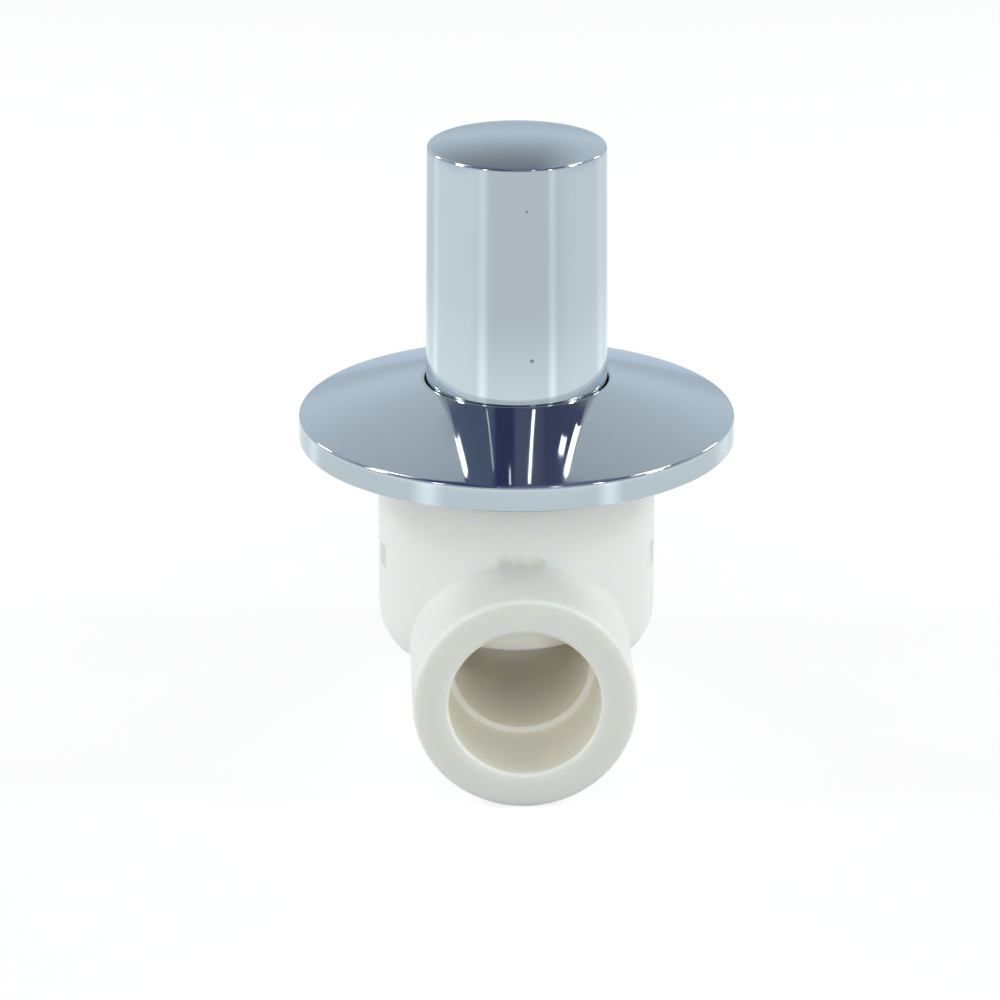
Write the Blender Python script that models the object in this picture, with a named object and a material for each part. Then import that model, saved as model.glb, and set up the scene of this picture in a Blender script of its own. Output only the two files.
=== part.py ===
"""Concealed stop valve for 25 mm welded plastic water pipe, with a chrome wall rosette and handle.

Units are metres. The pipe axis is Y, the spindle axis is Z, and they cross at the origin.
The inlet socket faces -Y, the outlet socket faces +Y and the handle points to +Z.
The valve is shown closed. Screw threads are left as plain cylinders.
"""
import math

import bmesh
import bpy
from mathutils import Matrix

# Clearance between faces that touch on the real valve
FIT = 0.0003
# Facets round the large, the middling and the small turned pieces
LARGE_FACETS = 60
MIDDLE_FACETS = 32
SMALL_FACETS = 20

# Run of the moulded body: two welding sockets and the waterway between them
SOCKET_MOUTH_RADIUS = 0.01215
SOCKET_TAPER = 0.00015
SOCKET_SHOULDER = 0.0010
SOCKET_DEPTH = 0.0160
SOCKET_MOUTH_CHAMFER = 0.0005
SOCKET_WALL = 0.0057
RUN_HALF_LENGTH = 0.0368
RUN_EDGE_ROUND = 0.0008
CHAMBER_OVER_PASSAGE = 0.0001
POCKET_WALL = 0.0021
PARTITION_DROP = 0.0006
PARTITION_THICKNESS = 0.0024
DIVIDING_WALL = 0.0030
SOCKET_ROOT_RADIUS = SOCKET_MOUTH_RADIUS - SOCKET_TAPER
PASSAGE_RADIUS = SOCKET_ROOT_RADIUS - SOCKET_SHOULDER
RUN_RADIUS = SOCKET_MOUTH_RADIUS + SOCKET_WALL
CHAMBER_RADIUS = PASSAGE_RADIUS + CHAMBER_OVER_PASSAGE
PARTITION_TOP = PARTITION_THICKNESS - PARTITION_DROP

# Threaded brass insert moulded into the barrel above the chamber
INSERT_THREAD_OVER_CHAMBER = 0.0021
INSERT_WALL = 0.0044
INSERT_GROOVE_DEPTH = 0.0015
INSERT_ABOVE_PASSAGE = 0.0020
INSERT_LENGTH = 0.0166
INSERT_PROUD = 0.0008
INSERT_BANDS = 5
INSERT_SIDES = 12
INSERT_THREAD_RADIUS = CHAMBER_RADIUS + INSERT_THREAD_OVER_CHAMBER
INSERT_RADIUS = INSERT_THREAD_RADIUS + INSERT_WALL
INSERT_FOOT = PASSAGE_RADIUS + INSERT_ABOVE_PASSAGE
INSERT_TOP = INSERT_FOOT + INSERT_LENGTH

# Barrel of the moulded body, with a shallow rectangular mark on each side of it
BARREL_WALL = 0.0051
BARREL_BELOW_PIPE = 0.0050
BARREL_TOP_ROUND = 0.0010
BARREL_BOTTOM_ROUND = 0.0080
MARK_WIDTH = 0.0034
MARK_HEIGHT = 0.0038
MARK_DEPTH = 0.0004
MARK_BELOW_TOP = 0.0154
MARK_ANGLE = 13.5
BARREL_RADIUS = INSERT_RADIUS + BARREL_WALL
BARREL_TOP = INSERT_TOP - INSERT_PROUD

# Radii of the plate and its washer, which fill the chamber but for a gap at the side
PLATE_SIDE_GAP = 0.0011
PLATE_RIM_WALL = 0.0007
PLATE_RADIUS = CHAMBER_RADIUS - PLATE_SIDE_GAP
WASHER_RADIUS = PLATE_RADIUS - PLATE_RIM_WALL - FIT

# Brass seat in the partition: its port is a share of the passage, its flange as wide as the washer
SEAT_PORT_SHARE = 0.59
SEAT_SPIGOT_WALL = 0.0010
SEAT_FLANGE_THICKNESS = 0.0012
SEAT_LIP_HEIGHT = 0.0006
SEAT_LIP_WIDTH = 0.0012
SEAT_LIP_SLOPE = 0.0004
SEAT_PORT_RADIUS = PASSAGE_RADIUS * SEAT_PORT_SHARE
SEAT_SPIGOT_RADIUS = SEAT_PORT_RADIUS + SEAT_SPIGOT_WALL
SEAT_FLANGE_RADIUS = WASHER_RADIUS
SEAT_FLANGE_FOOT = PARTITION_TOP + FIT
SEAT_LIP_FOOT = SEAT_FLANGE_FOOT + SEAT_FLANGE_THICKNESS
SEAT_TOP = SEAT_LIP_FOOT + SEAT_LIP_HEIGHT

# Plate, washer and nut that close on the seat
LIFT = 0.0050
PLATE_RIM_DEPTH = 0.0016
PLATE_THICKNESS = 0.0018
PLATE_STEM_RADIUS = 0.0029
STEM_GROOVE_DEPTH = 0.0007
WASHER_THICKNESS = 0.0030
WASHER_NUT_ACROSS_FLATS = 0.0080
WASHER_NUT_HEIGHT = 0.0023
STUD_RADIUS = 0.0020
STUD_BELOW_NUT = 0.0004
WASHER_FOOT = SEAT_TOP + FIT
WASHER_TOP = WASHER_FOOT + WASHER_THICKNESS
PLATE_FOOT = WASHER_TOP + FIT
PLATE_TOP = PLATE_FOOT + PLATE_THICKNESS

# Spindle head and its clip
HEAD_LENGTH = 0.0066
STEM_SHORT_OF_HEAD = 0.0012
CLIP_HALF_WIDTH = 0.0052
CLIP_THICKNESS = 0.0008
CLIP_HEIGHT_IN_HEAD = 0.0028
HEAD_FOOT = PLATE_TOP + FIT
HEAD_TOP = HEAD_FOOT + HEAD_LENGTH
STEM_TOP = HEAD_TOP - STEM_SHORT_OF_HEAD
CLIP_FOOT = HEAD_FOOT + CLIP_HEIGHT_IN_HEAD
CLIP_TOP = CLIP_FOOT + CLIP_THICKNESS

# What fits round what, from the spindle's smooth shank out to the hole in the rosette
SHANK_RADIUS = 0.0049
SPINDLE_THREAD_DEPTH = 0.0011
HEAD_OVER_THREAD = 0.0014
PACKING_WIDTH = 0.0025
BONNET_NECK_WALL = 0.0030
SLEEVE_WALL = 0.0016
HANDLE_OVER_SLEEVE = 0.0005
HANDLE_WALL = 0.00136
HANDLE_TAPER = 0.00040
ROSETTE_HOLE_GAP = 0.00030
SPINDLE_THREAD_RADIUS = SHANK_RADIUS + SPINDLE_THREAD_DEPTH
HEAD_RADIUS = SPINDLE_THREAD_RADIUS + HEAD_OVER_THREAD
PACKING_RADIUS = SHANK_RADIUS + FIT + PACKING_WIDTH
BONNET_NECK_RADIUS = PACKING_RADIUS + FIT + BONNET_NECK_WALL
SLEEVE_RADIUS = BONNET_NECK_RADIUS + FIT + SLEEVE_WALL
HANDLE_INNER_RADIUS = SLEEVE_RADIUS + HANDLE_OVER_SLEEVE
HANDLE_FOOT_RADIUS = HANDLE_INNER_RADIUS + HANDLE_WALL
HANDLE_TOP_RADIUS = HANDLE_FOOT_RADIUS - HANDLE_TAPER
ROSETTE_HOLE_RADIUS = HANDLE_FOOT_RADIUS + ROSETTE_HOLE_GAP

# Headwork, its seal and the gland
BONNET_NOSE_CHAMFER = 0.0010
BONNET_HEX_OVER_THREAD = 0.0018
BONNET_HEX_HEIGHT = 0.0040
BONNET_NECK_LENGTH = 0.0121
SEAL_WIDTH = 0.0016
SEAL_THICKNESS = 0.0015
GLAND_DEPTH = 0.0092
GLAND_RING_THICKNESS = 0.0008
PACKING_HEIGHT = 0.0036
GLAND_HEX_OVER_PACKING = 0.0008
GLAND_HEX_HEIGHT = 0.0040
BONNET_NOSE = PLATE_TOP + LIFT + FIT
BONNET_HEX_ACROSS_FLATS = 2 * (INSERT_THREAD_RADIUS + BONNET_HEX_OVER_THREAD)
BONNET_HEX_FOOT = INSERT_TOP + FIT
BONNET_HEX_TOP = BONNET_HEX_FOOT + BONNET_HEX_HEIGHT
BONNET_TOP = BONNET_HEX_TOP + BONNET_NECK_LENGTH
HEAD_STOP = HEAD_TOP + LIFT + FIT
PACKING_FLOOR = BONNET_TOP - GLAND_DEPTH
SPINDLE_THREAD_TOP = PACKING_FLOOR - LIFT - 2 * FIT
GLAND_RING_FOOT = PACKING_FLOOR + FIT
GLAND_RING_TOP = GLAND_RING_FOOT + GLAND_RING_THICKNESS
PACKING_FOOT = GLAND_RING_TOP + FIT
PACKING_TOP = PACKING_FOOT + PACKING_HEIGHT
GLAND_PLUG_FOOT = PACKING_TOP + FIT
GLAND_HEX_ACROSS_FLATS = 2 * (PACKING_RADIUS + GLAND_HEX_OVER_PACKING)
GLAND_HEX_FOOT = BONNET_TOP + FIT
GLAND_NUT_TOP = GLAND_HEX_FOOT + GLAND_HEX_HEIGHT

# Spindle's square and the extension screwed onto it
SQUARE_WIDTH = 0.0062
SQUARE_LENGTH = 0.0077
EXTENSION_WALL = 0.0018
EXTENSION_FLOOR = 0.0038
EXTENSION_SQUARE_LENGTH = 0.0103
EXTENSION_SCREW_RADIUS = 0.0017
EXTENSION_SCREW_HEAD_RADIUS = 0.0034
EXTENSION_SCREW_HEAD_HEIGHT = 0.0020
EXTENSION_SCREW_HEAD_CHAMFER = 0.0007
EXTENSION_SCREW_BITE = 0.0090
SQUARE_FOOT = GLAND_NUT_TOP + FIT
SQUARE_TOP = SQUARE_FOOT + SQUARE_LENGTH
SOCKET_WIDTH = SQUARE_WIDTH + 2 * FIT
SOCKET_CORNER = SOCKET_WIDTH / math.sqrt(2)
EXTENSION_RADIUS = SOCKET_CORNER + EXTENSION_WALL
EXTENSION_FOOT = SQUARE_FOOT + FIT
EXTENSION_SHOULDER = SQUARE_TOP + EXTENSION_FLOOR
EXTENSION_TOP = EXTENSION_SHOULDER + EXTENSION_SQUARE_LENGTH
SCREW_SEAT = EXTENSION_TOP + FIT
SCREW_TOP = SCREW_SEAT + EXTENSION_SCREW_HEAD_HEIGHT
SCREW_TIP = SQUARE_TOP - EXTENSION_SCREW_BITE

# Rosette, its holder and the sleeve that clamps it
WALL_ABOVE_BARREL = 0.00337
ROSETTE_RADIUS = 0.0355
ROSETTE_SHEET = 0.0009
ROSETTE_RIM_HEIGHT = 0.00423
ROSETTE_RIM_ROUND = 0.0006
ROSETTE_LIP_ABOVE_WALL = 0.00970
ROSETTE_LIP_ROUND = 0.0004
ROSETTE_CROWN = 0.00022
HOLDER_THICKNESS = 0.0013
HOLDER_STEP = 0.0010
HOLDER_RIM_WIDTH = 0.0014
HOLDER_RIM_BELOW_WEB = 0.0002
HOLDER_ROUND_HEX = 0.0009
SLEEVE_SHORT_OF_HUB = 0.0039
WALL_PLANE = BARREL_TOP + WALL_ABOVE_BARREL
ROSETTE_SHOULDER = WALL_PLANE + ROSETTE_RIM_HEIGHT
ROSETTE_LIP_HEIGHT = WALL_PLANE + ROSETTE_LIP_ABOVE_WALL
HOLDER_FOOT = BONNET_HEX_TOP + FIT
HOLDER_TOP = HOLDER_FOOT + HOLDER_THICKNESS
SLEEVE_FOOT = HOLDER_TOP + FIT

# Handle, its hub and the grub screw
HANDLE_ROOM_OVER_SCREW = 0.00485
HANDLE_TOP_WALL = 0.0018
HANDLE_EDGE_ROUND = 0.00045
HANDLE_DOME = 0.0012
HUB_RING_WALL = 0.0015
HUB_BOSS_WALL = 0.0020
HUB_RIB_THICKNESS = 0.0016
HUB_RIB_SHORT = 0.0010
HUB_RIBS = 4
GRUB_SCREW_RADIUS = 0.0020
GRUB_SCREW_SUNK = 0.0010
GRUB_SCREW_ABOVE_HUB_FOOT = 0.0050
GRUB_BOSS_WALL = 0.0016
GRUB_SOCKET_ACROSS_FLATS = 0.0020
GRUB_SOCKET_DEPTH = 0.0022
HANDLE_FOOT = SLEEVE_FOOT + FIT
HANDLE_CEILING = SCREW_TOP + HANDLE_ROOM_OVER_SCREW
HANDLE_SHOULDER = HANDLE_CEILING + HANDLE_TOP_WALL
HUB_FOOT = EXTENSION_SHOULDER + FIT
HUB_TOP = HANDLE_CEILING - FIT
HUB_RADIUS = HANDLE_INNER_RADIUS - FIT
HUB_BOSS_RADIUS = SOCKET_CORNER + HUB_BOSS_WALL
SLEEVE_TOP = HUB_FOOT - SLEEVE_SHORT_OF_HUB
GRUB_SCREW_HEIGHT = HUB_FOOT + GRUB_SCREW_ABOVE_HUB_FOOT
GRUB_SCREW_START = SQUARE_WIDTH / 2 + FIT
GRUB_SCREW_END = HANDLE_TOP_RADIUS - GRUB_SCREW_SUNK

# How far a cutter reaches past the face that it opens
REACH = 0.0010


def material(name, colour, roughness, metallic=0.0):
    made = bpy.data.materials.new(name)
    made.use_nodes = True
    made.diffuse_color = (*colour, 1.0)
    shader = made.node_tree.nodes["Principled BSDF"]
    shader.inputs["Base Color"].default_value = (*colour, 1.0)
    shader.inputs["Roughness"].default_value = roughness
    shader.inputs["Metallic"].default_value = metallic
    return made


WHITE_PPR = (0.80, 0.82, 0.80)
CHROME = (0.78, 0.80, 0.83)
BRASS = (0.78, 0.60, 0.30)
BLACK_RUBBER = (0.03, 0.03, 0.03)
WHITE_PTFE = (0.85, 0.85, 0.83)
GREY_PLASTIC = (0.35, 0.36, 0.37)
ZINC_STEEL = (0.62, 0.63, 0.65)


def finish(bm, name, colour, roughness, metallic=0.0):
    """Makes a named object from a bmesh, with outward faces and its own material."""
    bmesh.ops.remove_doubles(bm, verts=bm.verts, dist=1e-7)
    bmesh.ops.recalc_face_normals(bm, faces=bm.faces)
    mesh = bpy.data.meshes.new(name)
    bm.to_mesh(mesh)
    bm.free()
    mesh.shade_smooth()
    mesh.set_sharp_from_angle(angle=math.radians(35))
    made = bpy.data.objects.new(name, mesh)
    bpy.context.collection.objects.link(made)
    mesh.materials.append(material(name, colour, roughness, metallic))
    return made


def tool(bm, name):
    """Makes a cutter or a lump that another object's Boolean reads; it is not a piece of the valve."""
    made = finish(bm, name, (0.8, 0.2, 0.2), 0.5)
    made.hide_render = True
    made.display_type = "WIRE"
    return made


def arc(centre, radius, start, end, steps=4):
    """Points of a round stretch, as (radius from the axis, height), angles in degrees."""
    points = []
    for step in range(steps + 1):
        angle = math.radians(start + (end - start) * step / steps)
        points.append((centre[0] + radius * math.cos(angle), centre[1] + radius * math.sin(angle)))
    return points


def turned(outline, facets):
    """Spins a closed outline of (radius, height) points once round Z."""
    bm = bmesh.new()
    corners = [bm.verts.new((radius, 0.0, height)) for radius, height in outline]
    for first, second in zip(corners, corners[1:] + corners[:1]):
        bm.edges.new((first, second))
    bmesh.ops.spin(
        bm, geom=bm.verts[:] + bm.edges[:], cent=(0, 0, 0), axis=(0, 0, 1),
        angle=2 * math.pi, steps=facets, use_merge=True,
    )
    # An edge that lies on the axis sweeps no face, so it and its copies are dropped
    bmesh.ops.remove_doubles(bm, verts=bm.verts, dist=1e-7)
    bmesh.ops.delete(bm, geom=[edge for edge in bm.edges if not edge.link_faces], context="EDGES")
    return bm


def turned_on_y(outline, facets):
    """The same about the Y axis: a height in the outline becomes a distance along +Y."""
    bm = turned(outline, facets)
    bmesh.ops.rotate(bm, verts=bm.verts, matrix=Matrix.Rotation(math.radians(-90), 3, "X"))
    return bm


def tube(inner, outer, foot, top):
    return [(outer, top), (outer, foot), (inner, foot), (inner, top)]


def rod(radius, foot, top):
    return [(0.0, top), (radius, top), (radius, foot), (0.0, foot)]


def prism(across_flats, sides, foot, top):
    """A bar with a regular section, with a flat facing +Y."""
    radius = across_flats / 2 / math.cos(math.pi / sides)
    bm = bmesh.new()
    bmesh.ops.create_cone(
        bm, cap_ends=True, segments=sides, radius1=radius, radius2=radius, depth=top - foot,
        matrix=Matrix.Translation((0, 0, (foot + top) / 2)) @ Matrix.Rotation(math.pi / sides, 4, "Z"),
    )
    return bm


def block(low, high):
    bm = bmesh.new()
    size = [b - a for a, b in zip(low, high)]
    centre = [(a + b) / 2 for a, b in zip(low, high)]
    bmesh.ops.create_cube(bm, size=1.0, matrix=Matrix.Translation(centre) @ Matrix.Diagonal((*size, 1.0)))
    return bm


def combine(target, other, operation):
    """Adds a live Boolean to target: DIFFERENCE, UNION or INTERSECT with other."""
    made = target.modifiers.new(other.name, "BOOLEAN")
    made.operation = operation
    made.solver = "EXACT"
    made.object = other


for old in list(bpy.data.objects):
    bpy.data.objects.remove(old, do_unlink=True)


# Brass insert: bands with flats that cannot turn in the plastic, and grooves that cannot pull out.
# The same outline, one clearance larger, is the hollow that it leaves in the barrel.
def insert_outline(spread):
    band = INSERT_LENGTH / INSERT_BANDS
    outer = INSERT_RADIUS + spread
    groove = outer - INSERT_GROOVE_DEPTH
    top = INSERT_TOP + spread
    foot = INSERT_FOOT - spread
    first = INSERT_TOP - band
    second = INSERT_TOP - 2 * band
    third = INSERT_TOP - 3 * band
    fourth = INSERT_TOP - 4 * band
    return [
        (0.0, top), (outer, top), (outer, first - spread), (groove, first - spread),
        (groove, second + spread), (outer, second + spread), (outer, third - spread),
        (groove, third - spread), (groove, fourth + spread), (outer, fourth + spread), (outer, foot),
        (0.0, foot),
    ]


seal_outer = INSERT_THREAD_RADIUS + SEAL_WIDTH
seal_floor = BONNET_HEX_FOOT - SEAL_THICKNESS - 2 * FIT
insert_bore = turned([
    (0.0, INSERT_TOP + REACH), (seal_outer + FIT, INSERT_TOP + REACH), (seal_outer + FIT, seal_floor),
    (INSERT_THREAD_RADIUS, seal_floor), (INSERT_THREAD_RADIUS, INSERT_FOOT - REACH),
    (0.0, INSERT_FOOT - REACH),
], MIDDLE_FACETS)
brass_insert = finish(turned(insert_outline(0.0), INSERT_SIDES), "brass_insert", BRASS, 0.3, 1.0)
combine(brass_insert, tool(insert_bore, "insert_bore"), "DIFFERENCE")

# Moulded body: the outside is a barrel and a run, the inside is the waterway with its Z-shaped partition
barrel_foot = -BARREL_BELOW_PIPE
barrel_outline = [(0.0, BARREL_TOP)]
barrel_outline += arc(
    (BARREL_RADIUS - BARREL_TOP_ROUND, BARREL_TOP - BARREL_TOP_ROUND), BARREL_TOP_ROUND, 90, 0, 3)
barrel_outline += arc(
    (BARREL_RADIUS - BARREL_BOTTOM_ROUND, barrel_foot + BARREL_BOTTOM_ROUND), BARREL_BOTTOM_ROUND, 0, -90, 6)
barrel_outline += [(0.0, barrel_foot)]
ppr_body = finish(turned(barrel_outline, LARGE_FACETS), "ppr_body", WHITE_PPR, 0.35)

run_outline = [(0.0, RUN_HALF_LENGTH)]
run_outline += arc(
    (RUN_RADIUS - RUN_EDGE_ROUND, RUN_HALF_LENGTH - RUN_EDGE_ROUND), RUN_EDGE_ROUND, 90, 0, 2)
run_outline += arc(
    (RUN_RADIUS - RUN_EDGE_ROUND, RUN_EDGE_ROUND - RUN_HALF_LENGTH), RUN_EDGE_ROUND, 0, -90, 2)
run_outline += [(0.0, -RUN_HALF_LENGTH)]
combine(ppr_body, tool(turned_on_y(run_outline, LARGE_FACETS), "pipe_run"), "UNION")

mark_centre = BARREL_TOP - MARK_BELOW_TOP
for name, angle in (("right_mark", -MARK_ANGLE), ("left_mark", MARK_ANGLE - 180)):
    mark = block(
        (BARREL_RADIUS - MARK_DEPTH, -MARK_WIDTH / 2, mark_centre - MARK_HEIGHT / 2),
        (BARREL_RADIUS + REACH, MARK_WIDTH / 2, mark_centre + MARK_HEIGHT / 2))
    bmesh.ops.rotate(mark, verts=mark.verts, matrix=Matrix.Rotation(math.radians(angle), 3, "Z"))
    combine(ppr_body, tool(mark, name), "DIFFERENCE")

socket_root = RUN_HALF_LENGTH - SOCKET_DEPTH
pocket_radius = CHAMBER_RADIUS + POCKET_WALL
socket_outline = [
    (SOCKET_MOUTH_RADIUS + SOCKET_MOUTH_CHAMFER + REACH, RUN_HALF_LENGTH + REACH),
    (SOCKET_MOUTH_RADIUS, RUN_HALF_LENGTH - SOCKET_MOUTH_CHAMFER),
    (SOCKET_ROOT_RADIUS, socket_root), (PASSAGE_RADIUS, socket_root),
]

# Inlet side: the passage runs under the pocket that hangs from above and ends short of the outlet
inlet_end = CHAMBER_RADIUS
inlet_outline = [(0.0, RUN_HALF_LENGTH + REACH)] + socket_outline
inlet_outline += [(PASSAGE_RADIUS, -inlet_end), (0.0, -inlet_end)]
inlet_way = turned_on_y(inlet_outline, MIDDLE_FACETS)
bmesh.ops.rotate(inlet_way, verts=inlet_way.verts, matrix=Matrix.Rotation(math.pi, 3, "Z"))
inlet_way = tool(inlet_way, "inlet_way")
pocket = tool(turned(rod(pocket_radius, -PARTITION_DROP, 2 * RUN_RADIUS), MIDDLE_FACETS), "pocket")
combine(inlet_way, pocket, "DIFFERENCE")
combine(ppr_body, inlet_way, "DIFFERENCE")

# Outlet side: the passage meets the chamber above the seat, and one floor closes both from below
outlet_outline = [(0.0, RUN_HALF_LENGTH + REACH)] + socket_outline
outlet_outline += [(PASSAGE_RADIUS, 0.0), (0.0, 0.0)]
outlet_way = tool(turned_on_y(outlet_outline, MIDDLE_FACETS), "outlet_way")
chamber = turned(rod(CHAMBER_RADIUS, -PARTITION_DROP, INSERT_FOOT), MIDDLE_FACETS)
combine(outlet_way, tool(chamber, "chamber"), "UNION")
floor_width = 2 * CHAMBER_RADIUS
partition = tool(block(
    (-floor_width, -floor_width, -floor_width),
    (floor_width, inlet_end + DIVIDING_WALL, PARTITION_TOP)), "partition")
combine(outlet_way, partition, "DIFFERENCE")
combine(ppr_body, outlet_way, "DIFFERENCE")

# The hollow that the insert fills, and the hole that takes the seat's spigot
insert_hollow = turned(insert_outline(FIT), INSERT_SIDES)
combine(ppr_body, tool(insert_hollow, "insert_hollow"), "DIFFERENCE")
seat_hole = turned(
    rod(SEAT_SPIGOT_RADIUS + FIT, -PARTITION_DROP - REACH, PARTITION_TOP + REACH), MIDDLE_FACETS)
combine(ppr_body, tool(seat_hole, "seat_hole"), "DIFFERENCE")

# Seat ring: a flange on the partition, a spigot through it and a raised lip that the washer meets
lip_outer = SEAT_PORT_RADIUS + SEAT_LIP_WIDTH
seat_ring = finish(turned([
    (SEAT_PORT_RADIUS, SEAT_LIP_FOOT), (SEAT_PORT_RADIUS + SEAT_LIP_SLOPE, SEAT_TOP),
    (lip_outer - SEAT_LIP_SLOPE, SEAT_TOP), (lip_outer, SEAT_LIP_FOOT),
    (SEAT_FLANGE_RADIUS, SEAT_LIP_FOOT), (SEAT_FLANGE_RADIUS, SEAT_FLANGE_FOOT),
    (SEAT_SPIGOT_RADIUS, SEAT_FLANGE_FOOT), (SEAT_SPIGOT_RADIUS, -PARTITION_DROP),
    (SEAT_PORT_RADIUS, -PARTITION_DROP),
], MIDDLE_FACETS), "seat_ring", BRASS, 0.3, 1.0)

# Washer and its nut, on the stud below the plate
seat_washer = finish(
    turned(tube(STUD_RADIUS + FIT, WASHER_RADIUS, WASHER_FOOT, WASHER_TOP), MIDDLE_FACETS),
    "seat_washer", BLACK_RUBBER, 0.7)
nut_top = WASHER_FOOT - FIT
nut_foot = nut_top - WASHER_NUT_HEIGHT
washer_nut = finish(prism(WASHER_NUT_ACROSS_FLATS, 6, nut_foot, nut_top), "washer_nut", BRASS, 0.3, 1.0)
nut_hole = turned(rod(STUD_RADIUS + FIT, nut_foot - REACH, nut_top + REACH), SMALL_FACETS)
combine(washer_nut, tool(nut_hole, "washer_nut_hole"), "DIFFERENCE")

# Valve plate: a cup round the washer, a stud below it and a grooved stem above it
rim_inner = WASHER_RADIUS + FIT
groove_radius = PLATE_STEM_RADIUS - STEM_GROOVE_DEPTH
valve_plate = finish(turned([
    (0.0, STEM_TOP), (PLATE_STEM_RADIUS, STEM_TOP), (PLATE_STEM_RADIUS, CLIP_TOP + FIT),
    (groove_radius, CLIP_TOP + FIT), (groove_radius, CLIP_FOOT - FIT), (PLATE_STEM_RADIUS, CLIP_FOOT - FIT),
    (PLATE_STEM_RADIUS, PLATE_TOP), (PLATE_RADIUS, PLATE_TOP), (PLATE_RADIUS, PLATE_FOOT - PLATE_RIM_DEPTH),
    (rim_inner, PLATE_FOOT - PLATE_RIM_DEPTH), (rim_inner, PLATE_FOOT), (STUD_RADIUS, PLATE_FOOT),
    (STUD_RADIUS, nut_foot - STUD_BELOW_NUT), (0.0, nut_foot - STUD_BELOW_NUT),
], MIDDLE_FACETS), "valve_plate", BRASS, 0.3, 1.0)

# Spindle: the head hangs the plate from a clip in a side slot, and the square top takes the extension
stem_bore_top = STEM_TOP + FIT
screw_hole_radius = EXTENSION_SCREW_RADIUS + FIT
spindle = finish(turned([
    (0.0, SQUARE_TOP), (SHANK_RADIUS, SQUARE_TOP), (SHANK_RADIUS, SPINDLE_THREAD_TOP),
    (SPINDLE_THREAD_RADIUS, SPINDLE_THREAD_TOP), (SPINDLE_THREAD_RADIUS, HEAD_TOP), (HEAD_RADIUS, HEAD_TOP),
    (HEAD_RADIUS, HEAD_FOOT), (PLATE_STEM_RADIUS + FIT, HEAD_FOOT), (PLATE_STEM_RADIUS + FIT, stem_bore_top),
    (0.0, stem_bore_top),
], SMALL_FACETS), "spindle", BRASS, 0.3, 1.0)
square_waste = turned(rod(SHANK_RADIUS + REACH, SQUARE_FOOT, SQUARE_TOP + REACH), SMALL_FACETS)
square_waste = tool(square_waste, "square_waste")
square_core = tool(prism(SQUARE_WIDTH, 4, SQUARE_FOOT - REACH, SQUARE_TOP + 2 * REACH), "square_core")
combine(square_waste, square_core, "DIFFERENCE")
combine(spindle, square_waste, "DIFFERENCE")
tapped_hole = turned(rod(screw_hole_radius, SCREW_TIP - FIT, SQUARE_TOP + REACH), SMALL_FACETS)
combine(spindle, tool(tapped_hole, "spindle_tapped_hole"), "DIFFERENCE")
clip_slot = block(
    (-CLIP_HALF_WIDTH - FIT, -CLIP_HALF_WIDTH, CLIP_FOOT - FIT),
    (CLIP_HALF_WIDTH + FIT, HEAD_RADIUS + REACH, CLIP_TOP + FIT))
combine(spindle, tool(clip_slot, "clip_slot"), "DIFFERENCE")

# Plate clip: a flat horseshoe round the stem's groove, pushed in from the side
clip_reach = math.sqrt(HEAD_RADIUS ** 2 - CLIP_HALF_WIDTH ** 2) - FIT
plate_clip = finish(block(
    (-CLIP_HALF_WIDTH, FIT - CLIP_HALF_WIDTH, CLIP_FOOT), (CLIP_HALF_WIDTH, clip_reach, CLIP_TOP)),
    "plate_clip", ZINC_STEEL, 0.35, 1.0)
clip_gap = turned(rod(groove_radius + FIT, CLIP_FOOT - REACH, CLIP_TOP + REACH), SMALL_FACETS)
combine(plate_clip, tool(clip_gap, "clip_gap"), "DIFFERENCE")
clip_mouth = block(
    (-groove_radius, -CLIP_HALF_WIDTH - REACH, CLIP_FOOT - REACH), (groove_radius, 0.0, CLIP_TOP + REACH))
combine(plate_clip, tool(clip_mouth, "clip_mouth"), "DIFFERENCE")

# Headwork: the nose screws into the insert, the hexagon takes a spanner and the neck takes the sleeve
nose_radius = INSERT_THREAD_RADIUS - FIT
packing_bore = PACKING_RADIUS + FIT
head_bore = HEAD_RADIUS + 2 * FIT
hex_corner = BONNET_HEX_ACROSS_FLATS / 2 / math.cos(math.pi / 6)
bonnet = finish(turned([
    (BONNET_NECK_RADIUS, BONNET_TOP), (BONNET_NECK_RADIUS, BONNET_HEX_TOP), (hex_corner, BONNET_HEX_TOP),
    (hex_corner, BONNET_HEX_FOOT), (nose_radius, BONNET_HEX_FOOT),
    (nose_radius, BONNET_NOSE + BONNET_NOSE_CHAMFER), (nose_radius - BONNET_NOSE_CHAMFER, BONNET_NOSE),
    (head_bore, BONNET_NOSE), (head_bore, HEAD_STOP),
    (SPINDLE_THREAD_RADIUS + FIT, HEAD_STOP), (SPINDLE_THREAD_RADIUS + FIT, PACKING_FLOOR),
    (packing_bore, PACKING_FLOOR), (packing_bore, BONNET_TOP),
], MIDDLE_FACETS), "bonnet", BRASS, 0.3, 1.0)
hex_waste = tool(turned(
    tube(BONNET_NECK_RADIUS + FIT, hex_corner + REACH, BONNET_HEX_FOOT - REACH, BONNET_HEX_TOP + REACH),
    MIDDLE_FACETS), "hex_waste")
hex_core = prism(BONNET_HEX_ACROSS_FLATS, 6, BONNET_HEX_FOOT - 2 * REACH, BONNET_HEX_TOP + 2 * REACH)
combine(hex_waste, tool(hex_core, "hex_core"), "DIFFERENCE")
combine(bonnet, hex_waste, "DIFFERENCE")

bonnet_seal = finish(turned(tube(
    INSERT_THREAD_RADIUS, seal_outer, seal_floor + FIT, BONNET_HEX_FOOT - FIT),
    MIDDLE_FACETS), "bonnet_seal", BLACK_RUBBER, 0.6)

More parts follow.
